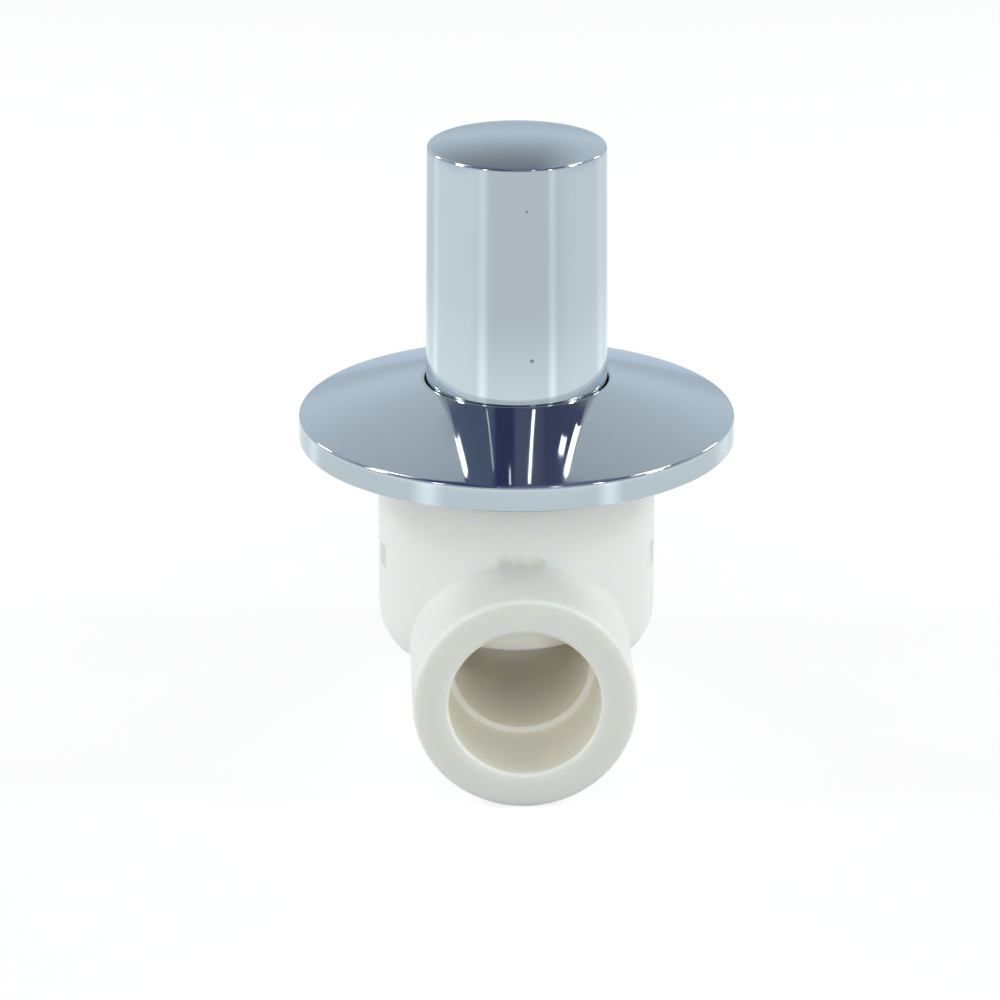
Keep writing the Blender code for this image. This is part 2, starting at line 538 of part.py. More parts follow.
# Gland: a ring, the packing and the nut that presses it round the shank
gland_bore = SHANK_RADIUS + FIT
gland_ring = finish(
    turned(tube(gland_bore, PACKING_RADIUS, GLAND_RING_FOOT, GLAND_RING_TOP), SMALL_FACETS),
    "gland_ring", BRASS, 0.3, 1.0)
gland_packing = finish(turned(tube(
    gland_bore, PACKING_RADIUS, PACKING_FOOT, PACKING_TOP), SMALL_FACETS), "gland_packing", WHITE_PTFE, 0.5)
gland_nut = finish(
    prism(GLAND_HEX_ACROSS_FLATS, 6, GLAND_HEX_FOOT, GLAND_NUT_TOP), "gland_nut", BRASS, 0.3, 1.0)
gland_plug = turned(rod(PACKING_RADIUS, GLAND_PLUG_FOOT, GLAND_HEX_FOOT + REACH), SMALL_FACETS)
combine(gland_nut, tool(gland_plug, "gland_plug"), "UNION")
gland_hole = turned(rod(gland_bore, GLAND_PLUG_FOOT - REACH, GLAND_NUT_TOP + REACH), SMALL_FACETS)
combine(gland_nut, tool(gland_hole, "gland_hole"), "DIFFERENCE")

# Rosette: one pressed sheet, from a rounded lip at the hole down a crowned cone to a short rim
lip_centre = (ROSETTE_HOLE_RADIUS + ROSETTE_LIP_ROUND, ROSETTE_LIP_HEIGHT)
rim_centre = (ROSETTE_RADIUS - ROSETTE_RIM_ROUND, ROSETTE_SHOULDER - ROSETTE_RIM_ROUND)
cone_start = (lip_centre[0], lip_centre[1] + ROSETTE_LIP_ROUND)
cone_end = (rim_centre[0], ROSETTE_SHOULDER)
cone_steps = 5


def crowned(start, end, crown, steps):
    """Inner points of a line from start to end that bulges by crown in the middle."""
    points = []
    for step in range(1, steps):
        share = step / steps
        radius = start[0] + (end[0] - start[0]) * share
        height = start[1] + (end[1] - start[1]) * share + crown * 4 * share * (1 - share)
        points.append((radius, height))
    return points


rosette_outer = arc(lip_centre, ROSETTE_LIP_ROUND, 180, 90, 3)
rosette_outer += crowned(cone_start, cone_end, ROSETTE_CROWN, cone_steps)
rosette_outer += arc(rim_centre, ROSETTE_RIM_ROUND, 90, 0, 3)
rosette_outer += [(ROSETTE_RADIUS, WALL_PLANE)]
inner_end = (ROSETTE_RADIUS - ROSETTE_SHEET, ROSETTE_SHOULDER - ROSETTE_SHEET - ROSETTE_RIM_ROUND)
inner_corner = (rim_centre[0], ROSETTE_SHOULDER - ROSETTE_SHEET)
inner_start = (ROSETTE_HOLE_RADIUS, cone_start[1] - ROSETTE_SHEET)
rosette_inner = [(ROSETTE_RADIUS - ROSETTE_SHEET, WALL_PLANE), inner_end]
rosette_inner += crowned(inner_corner, inner_start, ROSETTE_CROWN, cone_steps)
rosette_inner += [inner_start]
rosette = finish(turned(rosette_outer + rosette_inner, LARGE_FACETS), "rosette", CHROME, 0.06, 1.0)

# Rosette holder: a disc clamped between the hexagon and the sleeve, with a rim that the rosette snaps over
holder_bore = BONNET_NECK_RADIUS + FIT
web_start = hex_corner + HOLDER_ROUND_HEX
web_top = HOLDER_TOP - HOLDER_STEP
web_foot = HOLDER_FOOT - HOLDER_STEP
holder_radius = ROSETTE_RADIUS - ROSETTE_SHEET - FIT
rim_top = inner_end[1] - FIT
holder_rim_inner = holder_radius - HOLDER_RIM_WIDTH
rosette_holder = finish(turned([
    (holder_bore, HOLDER_TOP), (web_start + HOLDER_THICKNESS, HOLDER_TOP),
    (web_start + HOLDER_THICKNESS, web_top),
    (holder_rim_inner, web_top), (holder_rim_inner, rim_top), (holder_radius, rim_top),
    (holder_radius, web_foot - HOLDER_RIM_BELOW_WEB), (holder_rim_inner, web_foot - HOLDER_RIM_BELOW_WEB),
    (holder_rim_inner, web_foot), (web_start, web_foot), (web_start, HOLDER_FOOT), (holder_bore, HOLDER_FOOT),
], MIDDLE_FACETS), "rosette_holder", GREY_PLASTIC, 0.5)

# Cover sleeve: screwed onto the headwork's neck inside the handle's skirt
cover_sleeve = finish(turned(tube(
    BONNET_NECK_RADIUS + FIT, SLEEVE_RADIUS, SLEEVE_FOOT, SLEEVE_TOP), MIDDLE_FACETS),
    "cover_sleeve", BRASS, 0.3, 1.0)

# Spindle extension: a barrel over the spindle's square, and a square of the same size on top
spindle_extension = finish(
    turned(rod(EXTENSION_RADIUS, EXTENSION_FOOT, EXTENSION_SHOULDER), MIDDLE_FACETS),
    "spindle_extension", BRASS, 0.3, 1.0)
top_square = prism(SQUARE_WIDTH, 4, EXTENSION_SHOULDER - REACH, EXTENSION_TOP)
combine(spindle_extension, tool(top_square, "extension_square"), "UNION")
lower_socket = prism(SOCKET_WIDTH, 4, EXTENSION_FOOT - REACH, SQUARE_TOP + FIT)
combine(spindle_extension, tool(lower_socket, "extension_socket"), "DIFFERENCE")
extension_hole = turned(rod(screw_hole_radius, SQUARE_TOP, EXTENSION_TOP + REACH), SMALL_FACETS)
combine(spindle_extension, tool(extension_hole, "extension_hole"), "DIFFERENCE")

head_top_radius = EXTENSION_SCREW_HEAD_RADIUS - EXTENSION_SCREW_HEAD_CHAMFER
extension_screw = finish(turned([
    (0.0, SCREW_TOP), (head_top_radius, SCREW_TOP),
    (EXTENSION_SCREW_HEAD_RADIUS, SCREW_TOP - EXTENSION_SCREW_HEAD_CHAMFER),
    (EXTENSION_SCREW_HEAD_RADIUS, SCREW_SEAT), (EXTENSION_SCREW_RADIUS, SCREW_SEAT),
    (EXTENSION_SCREW_RADIUS, SCREW_TIP), (0.0, SCREW_TIP),
], SMALL_FACETS), "extension_screw", ZINC_STEEL, 0.3, 1.0)

# Handle: a shell with a long skirt, nearly straight, closed by a low dome
edge_centre = (HANDLE_TOP_RADIUS - HANDLE_EDGE_ROUND, HANDLE_SHOULDER - HANDLE_EDGE_ROUND)
handle_outline = [
    (edge_centre[0] * share, HANDLE_SHOULDER + HANDLE_DOME * (1 - share ** 2)) for share in (0.0, 0.4, 0.75)]
handle_outline += arc(edge_centre, HANDLE_EDGE_ROUND, 90, 0, 3)
handle_outline += [
    (HANDLE_FOOT_RADIUS, ROSETTE_LIP_HEIGHT), (HANDLE_FOOT_RADIUS, HANDLE_FOOT),
    (HANDLE_INNER_RADIUS, HANDLE_FOOT), (HANDLE_INNER_RADIUS, HANDLE_CEILING), (0.0, HANDLE_CEILING),
]
handle = finish(turned(handle_outline, LARGE_FACETS), "handle", CHROME, 0.06, 1.0)
grub_hole = turned_on_y(rod(GRUB_SCREW_RADIUS + FIT, 0.0, HANDLE_FOOT_RADIUS + REACH), SMALL_FACETS)
bmesh.ops.translate(grub_hole, verts=grub_hole.verts, vec=(0, 0, GRUB_SCREW_HEIGHT))
grub_hole = tool(grub_hole, "grub_hole")
combine(handle, grub_hole, "DIFFERENCE")

# Handle hub: a ring and a boss joined by ribs, with a thicker boss where the grub screw passes
hub_ring_inner = HUB_RADIUS - HUB_RING_WALL
handle_hub = finish(turned(tube(
    hub_ring_inner, HUB_RADIUS, HUB_FOOT, HUB_TOP), MIDDLE_FACETS), "handle_hub", GREY_PLASTIC, 0.5)
hub_boss = turned(rod(HUB_BOSS_RADIUS, HUB_FOOT, HUB_TOP), MIDDLE_FACETS)
combine(handle_hub, tool(hub_boss, "hub_boss"), "UNION")
rib_reach = (hub_ring_inner + HUB_RADIUS) / 2
for index in range(HUB_RIBS // 2):
    rib = block(
        (-rib_reach, -HUB_RIB_THICKNESS / 2, HUB_FOOT + HUB_RIB_SHORT),
        (rib_reach, HUB_RIB_THICKNESS / 2, HUB_TOP - HUB_RIB_SHORT))
    bmesh.ops.rotate(rib, verts=rib.verts, matrix=Matrix.Rotation(2 * math.pi * index / HUB_RIBS, 3, "Z"))
    combine(handle_hub, tool(rib, "hub_rib_%d" % (index + 1)), "UNION")
grub_boss = turned_on_y(rod(GRUB_SCREW_RADIUS + GRUB_BOSS_WALL, 0.0, rib_reach), SMALL_FACETS)
bmesh.ops.translate(grub_boss, verts=grub_boss.verts, vec=(0, 0, GRUB_SCREW_HEIGHT))
combine(handle_hub, tool(grub_boss, "grub_boss"), "UNION")
hub_socket = prism(SOCKET_WIDTH, 4, HUB_FOOT - REACH, SCREW_SEAT)
combine(handle_hub, tool(hub_socket, "hub_socket"), "DIFFERENCE")
head_room = turned(rod(EXTENSION_SCREW_HEAD_RADIUS + 2 * FIT, EXTENSION_TOP, HUB_TOP + REACH), SMALL_FACETS)
combine(handle_hub, tool(head_room, "hub_head_room"), "DIFFERENCE")
combine(handle_hub, grub_hole, "DIFFERENCE")

# Grub screw: bears on the extension's square and lies just under the handle's surface
grub = turned_on_y(rod(GRUB_SCREW_RADIUS, GRUB_SCREW_START, GRUB_SCREW_END), SMALL_FACETS)
bmesh.ops.translate(grub, verts=grub.verts, vec=(0, 0, GRUB_SCREW_HEIGHT))
grub_screw = finish(grub, "grub_screw", ZINC_STEEL, 0.3, 1.0)
grub_socket = prism(
    GRUB_SOCKET_ACROSS_FLATS, 6, GRUB_SCREW_END - GRUB_SOCKET_DEPTH, GRUB_SCREW_END + REACH)
bmesh.ops.rotate(grub_socket, verts=grub_socket.verts, matrix=Matrix.Rotation(math.radians(-90), 3, "X"))
bmesh.ops.translate(grub_socket, verts=grub_socket.verts, vec=(0, 0, GRUB_SCREW_HEIGHT))
combine(grub_screw, tool(grub_socket, "grub_socket"), "DIFFERENCE")
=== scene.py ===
import math

import bmesh
import bpy
from mathutils import Matrix, Vector


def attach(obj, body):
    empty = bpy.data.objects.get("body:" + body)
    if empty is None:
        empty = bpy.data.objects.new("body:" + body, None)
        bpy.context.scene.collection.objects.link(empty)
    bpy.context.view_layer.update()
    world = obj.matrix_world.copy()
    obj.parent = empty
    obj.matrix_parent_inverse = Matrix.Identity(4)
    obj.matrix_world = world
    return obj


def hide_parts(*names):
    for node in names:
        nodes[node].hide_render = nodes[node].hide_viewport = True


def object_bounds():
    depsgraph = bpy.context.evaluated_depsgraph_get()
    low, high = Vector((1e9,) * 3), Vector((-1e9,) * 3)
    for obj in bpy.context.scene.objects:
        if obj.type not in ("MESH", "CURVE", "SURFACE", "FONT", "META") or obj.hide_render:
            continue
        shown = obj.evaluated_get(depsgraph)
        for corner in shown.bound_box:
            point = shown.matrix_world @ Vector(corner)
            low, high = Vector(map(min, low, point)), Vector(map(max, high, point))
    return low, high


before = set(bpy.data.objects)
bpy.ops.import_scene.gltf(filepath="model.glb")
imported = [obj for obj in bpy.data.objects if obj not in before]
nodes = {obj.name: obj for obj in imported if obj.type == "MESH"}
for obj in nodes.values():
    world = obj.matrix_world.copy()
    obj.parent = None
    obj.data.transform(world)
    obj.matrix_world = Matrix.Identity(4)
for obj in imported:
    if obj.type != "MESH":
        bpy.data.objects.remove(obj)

# Concealed stop valve for welded plastic pipe. The pipe runs along Y, with its inlet at -Y,
# and the spindle points up along Z. Lengths are in metres where nothing else is said.
cad_box = [list(corner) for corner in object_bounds()]

# Camera: it stands on the inlet side, a little to the left, and looks down at about 21 degrees,
# which is the viewpoint that fits the ellipses and outlines in the photograph.
camera_yaw, camera_pitch = math.radians(2.01), math.radians(21.02)
camera_distance = 0.700
camera_target = Vector((-0.002708, 0.000095, 0.02062))
camera_view = Vector((
    math.sin(camera_yaw) * math.cos(camera_pitch),
    math.cos(camera_yaw) * math.cos(camera_pitch),
    -math.sin(camera_pitch)))
camera_lens = bpy.data.cameras.new("camera")
camera_lens.sensor_width = 36
camera_lens.lens = 153.2
camera = bpy.data.objects.new("camera", camera_lens)
camera.location = camera_target - camera_distance * camera_view
camera.rotation_euler = camera_view.to_track_quat("-Z", "Y").to_euler()
bpy.context.collection.objects.link(camera)
bpy.context.scene.camera = camera
bpy.context.scene.view_settings.view_transform = "Standard"


# Studio: a pale room whose ceiling is dark over the camera and in a strip towards the back. Camera rays
# see plain white, polished metal sees the room, and matt surfaces get a soft light from both sides and
# from the front.
def shader_tree(owner):
    owner.use_nodes = True
    owner.node_tree.nodes.clear()
    return owner.node_tree


def node(tree, kind, settings=None, **inputs):
    """Adds a node; settings are its properties, inputs are values or links by socket name or number."""
    made = tree.nodes.new(kind)
    for name, value in (settings or {}).items():
        setattr(made, name, value)
    for name, value in inputs.items():
        socket = made.inputs[int(name[1:])] if name[0] == "_" else made.inputs[name.replace("_", " ")]
        if isinstance(value, bpy.types.NodeSocket):
            tree.links.new(value, socket)
        else:
            socket.default_value = value
    return made


def ramp(tree, factor, stops):
    """Adds a colour ramp; stops are (place, (red, green, blue))."""
    made = node(tree, "ShaderNodeValToRGB", Fac=factor)
    band = made.color_ramp
    while len(band.elements) < len(stops):
        band.elements.new(0.5)
    for element, (place, colour) in zip(band.elements, stops):
        element.position = place
        element.color = (*colour, 1.0)
    return made.outputs["Color"]


def spread(tree, value, low, high, to_low=0.0, to_high=1.0):
    """Maps a value's range smoothly onto another, held at its ends."""
    made = node(tree, "ShaderNodeMapRange", {"interpolation_type": "SMOOTHSTEP"},
                _0=value, _1=low, _2=high, _3=to_low, _4=to_high)
    return made.outputs[0]


def maths(tree, operation, first, second=0.0, third=0.0):
    return node(tree, "ShaderNodeMath", {"operation": operation}, _0=first, _1=second, _2=third).outputs[0]


def product(tree, first, *others):
    for other in others:
        first = maths(tree, "MULTIPLY", first, other)
    return first


def mixed(tree, factor, first, second):
    """Mixes two colours, each a value or a link, by a factor."""
    made = node(tree, "ShaderNodeMix", {"data_type": "RGBA"})
    for index, value in ((0, factor), (6, first), (7, second)):
        if isinstance(value, bpy.types.NodeSocket):
            tree.links.new(value, made.inputs[index])
        elif index:
            made.inputs[index].default_value = (*value, 1.0)
        else:
            made.inputs[index].default_value = value
    return made.outputs[2]


room = bpy.data.worlds.new("studio")
bpy.context.scene.world = room
tree = shader_tree(room)
way = node(tree, "ShaderNodeSeparateXYZ", Vector=node(tree, "ShaderNodeTexCoord").outputs["Generated"])
across, away, upward = way.outputs["X"], way.outputs["Y"], way.outputs["Z"]
height = maths(tree, "MULTIPLY_ADD", away, spread(tree, away, 0.42, 0.64, 0.0, -0.7), upward)
walls = ramp(tree, maths(tree, "MULTIPLY_ADD", height, 0.5, 0.5), [
    (0.31, (0.70, 0.82, 0.92)), (0.51, (0.62, 0.71, 0.79)),
    (0.69, (0.55, 0.62, 0.69)), (0.78, (0.49, 0.55, 0.62))])
ceiling = ramp(tree, maths(tree, "MULTIPLY_ADD", across, 0.5, 0.5), [
    (0.28, (0.19, 0.24, 0.37)), (0.32, (0.08, 0.09, 0.22)), (0.45, (0.08, 0.09, 0.22)),
    (0.49, (0.20, 0.22, 0.35)), (0.66, (0.20, 0.22, 0.35)), (0.74, (0.13, 0.14, 0.27))])
walls = mixed(tree, spread(tree, height, 0.56, 0.70), walls, ceiling)
in_strip = product(
    tree, spread(tree, maths(tree, "ABSOLUTE", across), 0.17, 0.06),
    spread(tree, upward, 0.10, 0.82), spread(tree, away, 0.60, 0.74))
walls = mixed(tree, in_strip, walls, (0.15, 0.16, 0.18))
in_horizon = product(tree, spread(tree, away, 0.80, 0.97), spread(tree, upward, 0.26, 0.02))
walls = mixed(tree, in_horizon, walls, (0.52, 0.62, 0.71))

soft_sides, soft_front, soft_front_low, level_falloff = 1.78, 1.12, 0.36, 3.0
level = maths(tree, "SUBTRACT", 1.0, product(tree, upward, upward))
level = maths(tree, "POWER", maths(tree, "MAXIMUM", level, 0.0), level_falloff)
ahead = maths(tree, "MAXIMUM", product(tree, away, -1.0), 0.0)
softness = product(tree, across, across, soft_sides)
softness = maths(tree, "MULTIPLY_ADD", product(tree, ahead, ahead), soft_front_low, softness)
softness = maths(tree, "MULTIPLY_ADD", ahead, soft_front, product(tree, softness, level))
soft = node(tree, "ShaderNodeBackground", Color=(0.97, 1.0, 0.99, 1.0), Strength=softness)
in_metal = node(tree, "ShaderNodeBackground", Color=walls, Strength=1.0)
backdrop = node(tree, "ShaderNodeBackground", Color=(1.0, 1.0, 1.0, 1.0), Strength=1.0)
ray = node(tree, "ShaderNodeLightPath")
lit = node(tree, "ShaderNodeMixShader",
           _0=ray.outputs["Is Glossy Ray"], _1=soft.outputs[0], _2=in_metal.outputs[0])
through = maths(tree, "MAXIMUM", ray.outputs["Is Camera Ray"], ray.outputs["Is Transmission Ray"])
whole = node(tree, "ShaderNodeMixShader", _0=through, _1=lit.outputs[0], _2=backdrop.outputs[0])
node(tree, "ShaderNodeOutputWorld", Surface=whole.outputs[0])


# Lamps: six soft ones in a ring above the valve, whose reflections are the bright spots on the rounded
# chrome edges, and high ones that draw streaks where the rosette mirrors the handle. The two at the front
# and the high ones show only in metal. A small spotlight reaches into the inlet socket.
def turned_to(place, target):
    return (Vector(target) - place).to_track_quat("-Z", "Y").to_euler()


def lamp(name, azimuth, distance, height, size, power, on_matt):
    """Adds a rectangular lamp; the azimuth is counted from the camera's side towards +X."""
    light = bpy.data.lights.new(name, "AREA")
    light.shape = "RECTANGLE"
    light.size, light.size_y = size
    light.energy = power
    light.color = (0.98, 1.0, 1.0)
    made = bpy.data.objects.new(name, light)
    turn = math.radians(azimuth)
    made.location = (distance * math.sin(turn), -distance * math.cos(turn), height)
    made.rotation_euler = turned_to(made.location, lamps_aim)
    made.visible_camera = False
    made.visible_diffuse = on_matt
    bpy.context.collection.objects.link(made)


lamps_aim = (0, 0, 0.05)
ring_distance, ring_length, high_height = 0.55, 0.12, 0.52
front_power, side_power, rear_power = 0.15, 0.66, 0.40
for azimuth, height, width, power in (
        (-46, 0.42, 0.045, front_power), (44, 0.42, 0.045, front_power),
        (-87, 0.42, 0.095, side_power), (81, 0.42, 0.075, side_power),
        (-128, 0.30, 0.055, rear_power), (126, 0.30, 0.055, rear_power)):
    lamp("ring_lamp_%d" % (azimuth + 180), azimuth, ring_distance, height, (width, ring_length), power,
         on_matt=power != front_power)
for azimuth, distance, width, length, power in (
        (24.5, 0.350, 0.030, 0.120, 0.052), (-49, 0.370, 0.012, 0.110, 0.0060),
        (126, 0.365, 0.170, 0.110, 0.255), (-138, 0.345, 0.190, 0.075, 0.19),
        (90, 0.365, 0.100, 0.035, 0.045), (-15.4, 0.285, 0.012, 0.030, 0.0035)):
    lamp("high_lamp_%d" % (azimuth + 180), azimuth, distance, high_height, (width, length), power,
         on_matt=False)

inlet_light = bpy.data.lights.new("inlet_lamp", "SPOT")
inlet_light.energy, inlet_light.shadow_soft_size = 5.8, 0.01
inlet_light.spot_size, inlet_light.spot_blend = math.radians(1.9), 1.0
inlet_lamp = bpy.data.objects.new("inlet_lamp", inlet_light)
inlet_lamp.location = (0.0, -0.55, 0.13)
inlet_lamp.rotation_euler = turned_to(inlet_lamp.location, (0.0, -0.036, 0.0005))
inlet_lamp.visible_glossy = False
bpy.context.collection.objects.link(inlet_lamp)

# Floor: a pale sheet just under the pipe, which keeps the valve's soft shadow. Polished metal sees it
# with a pale streak under each of the ring's front and rear lamps, brighter at the sides, and darker
# behind the valve.
floor_half, floor_height = 3, cad_box[0][2] - 0.0001
floor_mesh = bpy.data.meshes.new("floor")
floor_mesh.from_pydata(
    [(x * floor_half, y * floor_half, floor_height) for x, y in ((-1, -1), (1, -1), (1, 1), (-1, 1))],
    [], [(0, 1, 2, 3)])
floor = bpy.data.objects.new("floor", floor_mesh)
bpy.context.collection.objects.link(floor)
floor_paper = bpy.data.materials.new("floor_paper")
tree = shader_tree(floor_paper)
spot = node(tree, "ShaderNodeSeparateXYZ", Vector=node(tree, "ShaderNodeTexCoord").outputs["Object"])
azimuth = maths(tree, "ARCTAN2", spot.outputs["X"], product(tree, spot.outputs["Y"], -1.0))
off_front = maths(tree, "ABSOLUTE", azimuth)
out = maths(tree, "SQRT", maths(tree, "ADD", maths(tree, "POWER", spot.outputs["X"], 2.0),
                                maths(tree, "POWER", spot.outputs["Y"], 2.0)))


def sectors(places, flat=0):
    """Adds up soft sectors round the valve, as (azimuth, half width, strength); flat is their even middle."""
    total = 0.0
    for middle, half_width, strength in places:
        aside = maths(tree, "ABSOLUTE", maths(tree, "SUBTRACT", azimuth, math.radians(middle)))
        sector = spread(tree, aside, math.radians(half_width), math.radians(flat), 0.0, strength)
        total = maths(tree, "ADD", sector, total)
    return total


streaks = sectors(((-45, 10, 0.50), (42.5, 8, 0.50), (-125.6, 11, 0.34), (127.5, 15, 0.24)))
streaks = product(tree, streaks, spread(tree, out, 0.27, 0.17, 0.42, 1.0))
side_glow = product(tree, sectors(((-92, 62, 0.22), (104, 70, 0.14)), 25), spread(tree, out, 0.180, 0.250))
glow = maths(tree, "ADD", spread(tree, out, 0.26, 0.18, 0.95, 1.27), maths(tree, "ADD", streaks, side_glow))
glow = product(tree, glow, spread(tree, out, 0.171, 0.183, 0.83, 1.0))
behind = spread(tree, off_front, math.radians(158), math.radians(172))
seen = mixed(tree, behind, (0.84, 0.91, 0.95), (0.60, 0.70, 0.78))
far_side = product(tree, spread(tree, off_front, math.radians(50), math.radians(85)),
                   spread(tree, out, 0.34, 0.54))
seen = mixed(tree, far_side, seen, (0.60, 0.72, 0.88))
in_metal = node(tree, "ShaderNodeEmission", Color=seen, Strength=glow)
paper = node(tree, "ShaderNodeBsdfDiffuse", Color=(0.42, 0.42, 0.42, 1.0))
paper_glow = node(tree, "ShaderNodeEmission", Color=(1.0, 1.0, 1.0, 1.0), Strength=0.72)
shadowed = node(tree, "ShaderNodeAddShader", _0=paper.outputs[0], _1=paper_glow.outputs[0])
bounce = node(tree, "ShaderNodeBsdfDiffuse", Color=(0.55, 0.55, 0.55, 1.0))
side_lift = node(tree, "ShaderNodeEmission", Color=(1.0, 1.0, 1.0, 1.0),
                 Strength=sectors(((-100, 70, 0.30), (100, 70, 0.30)), 10))
under_light = node(tree, "ShaderNodeAddShader", _0=bounce.outputs[0], _1=side_lift.outputs[0])
ray = node(tree, "ShaderNodeLightPath")
lit = node(tree, "ShaderNodeMixShader",
           _0=ray.outputs["Is Glossy Ray"], _1=under_light.outputs[0], _2=in_metal.outputs[0])
whole = node(tree, "ShaderNodeMixShader",
             _0=ray.outputs["Is Camera Ray"], _1=lit.outputs[0], _2=shadowed.outputs[0])
node(tree, "ShaderNodeOutputMaterial", Surface=whole.outputs[0])
floor_mesh.materials.append(floor_paper)


# Moulded body: one injection moulding in white PP-R. The barrel and the pipe run flow into each other
# with a small fillet, and the hollow inside is the socket, the passage and the Z-shaped partition.
def arc(centre, radius, start, end, steps):
    """Points of a round stretch, as (radius from the axis, height), angles in degrees."""
    angles = [math.radians(start + (end - start) * step / steps) for step in range(steps + 1)]
    return [(centre[0] + radius * math.cos(angle), centre[1] + radius * math.sin(angle)) for angle in angles]


def steps_between(start, end, count):
    """Evenly spaced points after start, up to and with end."""
    return [tuple(a + (b - a) * step / count for a, b in zip(start, end)) for step in range(1, count + 1)]


def closed(name, bm):
    """Makes a named object of a bmesh that is one closed surface, with its faces outwards."""
    bmesh.ops.remove_doubles(bm, verts=bm.verts, dist=1e-7)
    bmesh.ops.recalc_face_normals(bm, faces=bm.faces)
    mesh = bpy.data.meshes.new(name)
    bm.to_mesh(mesh)
    bm.free()
    made = bpy.data.objects.new(name, mesh)
    bpy.context.collection.objects.link(made)
    return made


def joined(bm, rings):
    """Skins a closed row of rings; a ring of one point is a pole."""
    facets = max(len(ring) for ring in rings)
    for first, second in zip(rings, rings[1:] + rings[:1]):
        for index in range(facets):
            after = (index + 1) % facets
            corners = [first[index % len(first)], first[after % len(first)],
                       second[after % len(second)], second[index % len(second)]]
            corners = list(dict.fromkeys(corners))
            if len(corners) > 2:
                bm.faces.new(corners)


def lathe(name, outline, facets, on_pipe=False):
    """Turns a closed outline of (radius, height) once round Z, or round Y for a piece on the pipe."""
    bm = bmesh.new()
    rings = []
    for radius, height in outline:
        ring = []
        for index in range(facets if radius > 1e-9 else 1):
            turn = 2 * math.pi * index / facets
            across, along = radius * math.cos(turn), radius * math.sin(turn)
            ring.append(bm.verts.new((across, height, -along) if on_pipe else (across, along, height)))
        rings.append(ring)
    joined(bm, rings)
    return closed(name, bm)


def block(name, low, high, turn=0.0):
    """Makes a block between two corners and turns it round Z by degrees."""
    bm = bmesh.new()
    size = [b - a for a, b in zip(low, high)]
    centre = [(a + b) / 2 for a, b in zip(low, high)]
    place = Matrix.Rotation(math.radians(turn), 4, "Z") @ Matrix.Translation(centre)
    bmesh.ops.create_cube(bm, size=1.0, matrix=place @ Matrix.Diagonal((*size, 1.0)))
    return closed(name, bm)


def worked(made, *steps):
    """Carries out booleans, given as (operation, tool), and leaves a plain mesh, sharp from 30 degrees."""
    for operation, tool in steps:
        change = made.modifiers.new(tool.name, "BOOLEAN")
        change.operation = operation
        change.solver = "EXACT"
        change.object = tool
    result = bpy.data.meshes.new_from_object(made.evaluated_get(bpy.context.evaluated_depsgraph_get()))
    made.modifiers.clear()
    made.data = result
    for operation, tool in steps:
        bpy.data.objects.remove(tool)
    result.shade_smooth()
    result.set_sharp_from_angle(angle=math.radians(30))
    return made


body_facets, way_facets, insert_facets = 144, 96, 12
barrel_radius, barrel_top, barrel_foot = 0.0227, 0.0288, -0.0050
barrel_round, barrel_edge = 0.0080, 0.0010
run_radius, run_half, run_round = 0.01785, 0.0368, 0.0008
blend_radius = 0.0012

barrel_arc = (barrel_radius - barrel_round, barrel_foot + barrel_round)
outline = [(0.0, barrel_top)]
outline += arc((barrel_radius - barrel_edge, barrel_top - barrel_edge), barrel_edge, 90, 0, 6)
outline += steps_between(outline[-1], (barrel_radius, barrel_arc[1]), 12)
outline += arc(barrel_arc, barrel_round, 0, -90, 14)[1:] + [(0.0, barrel_foot)]
barrel = lathe("moulded_body", outline, body_facets)

outline = [(0.0, run_half)] + arc((run_radius - run_round, run_half - run_round), run_round, 90, 0, 6)
outline += steps_between(outline[-1], (run_radius, run_round - run_half), 36)
outline += arc((run_radius - run_round, run_round - run_half), run_round, 0, -90, 6)[1:]
run = lathe("run_tool", outline + [(0.0, -run_half)], body_facets, on_pipe=True)


def barrel_reach(height, radius):
    """How far from the axis a ball that touches the barrel has its middle."""
    if height >= barrel_arc[1]:
        return barrel_radius + radius
    rise = height - barrel_arc[1]
    return barrel_arc[0] + math.sqrt(max((barrel_round + radius) ** 2 - rise ** 2, 0.0))


def fillet_bead(name, radius, stations, facets=8, sunk=0.00003, backed=0.0006):
    """A bead that fills the inner corner between barrel and run, as a rolling ball would leave it."""
    around = run_radius + radius
    low, high = math.pi / 2, 0.75 * math.pi
    for _ in range(50):
        middle = (low + high) / 2
        if around * math.sin(middle) < barrel_reach(around * math.cos(middle), radius):
            low = middle
        else:
            high = middle
    quarter = [low * math.sin(math.pi / 2 * step / stations) for step in range(stations + 1)]
    path = [(turn, -1) for turn in quarter] + [(turn, 1) for turn in quarter[-2::-1]]
    path += [(-turn, 1) for turn in quarter[1:]] + [(-turn, -1) for turn in quarter[-2:0:-1]]
    bm = bmesh.new()
    rings = []
    for turn, side in path:
        x, z = around * math.sin(turn), around * math.cos(turn)
        out = barrel_reach(z, radius)
        ball = Vector((x, side * math.sqrt(max(out ** 2 - x ** 2, 0.0)), z))
        to_barrel = -Vector((ball.x, ball.y, 0.0)).normalized()
        if z < barrel_arc[1]:
            off_arc = Vector((0, 0, z - barrel_arc[1])) - to_barrel * (out - barrel_arc[0])
            to_barrel = -off_arc.normalized()
        to_run = -Vector((x, 0.0, z)).normalized()
        span = to_barrel.angle(to_run)
        ring = []
        for step in range(facets + 1):
            share = step / facets
            heading = to_barrel * math.sin((1 - share) * span) + to_run * math.sin(share * span)
            ring.append(bm.verts.new(ball + heading / math.sin(span) * (radius + sunk)))
        inward = (to_barrel + to_run).normalized()
        ring.append(bm.verts.new(ball + inward * (radius / math.cos(span / 2) + backed)))
        rings.append(ring)
    joined(bm, rings)
    return closed(name, bm)


